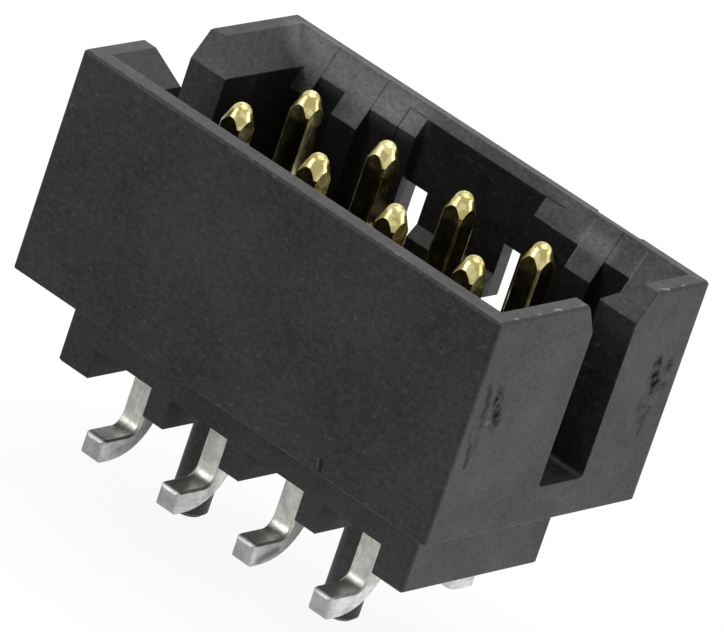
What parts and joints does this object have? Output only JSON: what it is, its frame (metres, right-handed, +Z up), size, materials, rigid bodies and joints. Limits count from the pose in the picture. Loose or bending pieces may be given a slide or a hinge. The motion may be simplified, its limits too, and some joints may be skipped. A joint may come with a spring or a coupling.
{
  "type": "pin header",
  "caption": "Surface mount pin header: black moulded shroud with keying slots and a latch tongue round rows of square gold-tipped posts, with bent solder feet and locating pegs.",
  "frame": {"origin": "centre of the contact pattern on the board's surface, the plane of the solder feet", "axes": "+X along the rows, +Y to the wall with the latch tongue, +Z up from the board, the way the plug leaves"},
  "size_m": [0.0108, 0.0062, 0.0085],
  "materials": {
    "housing": "black glass-filled moulding plastic, satin, finely grained",
    "contact": "square copper-alloy wire, gold plated on the post and tin plated on the foot"
  },
  "bodies": {
    "root": {"housing": "housing", "contact_front_1": "contact", "contact_front_2": "contact", "contact_front_3": "contact", "contact_front_4": "contact", "contact_back_1": "contact", "contact_back_2": "contact", "contact_back_3": "contact", "contact_back_4": "contact"}
  },
  "joints": []
}
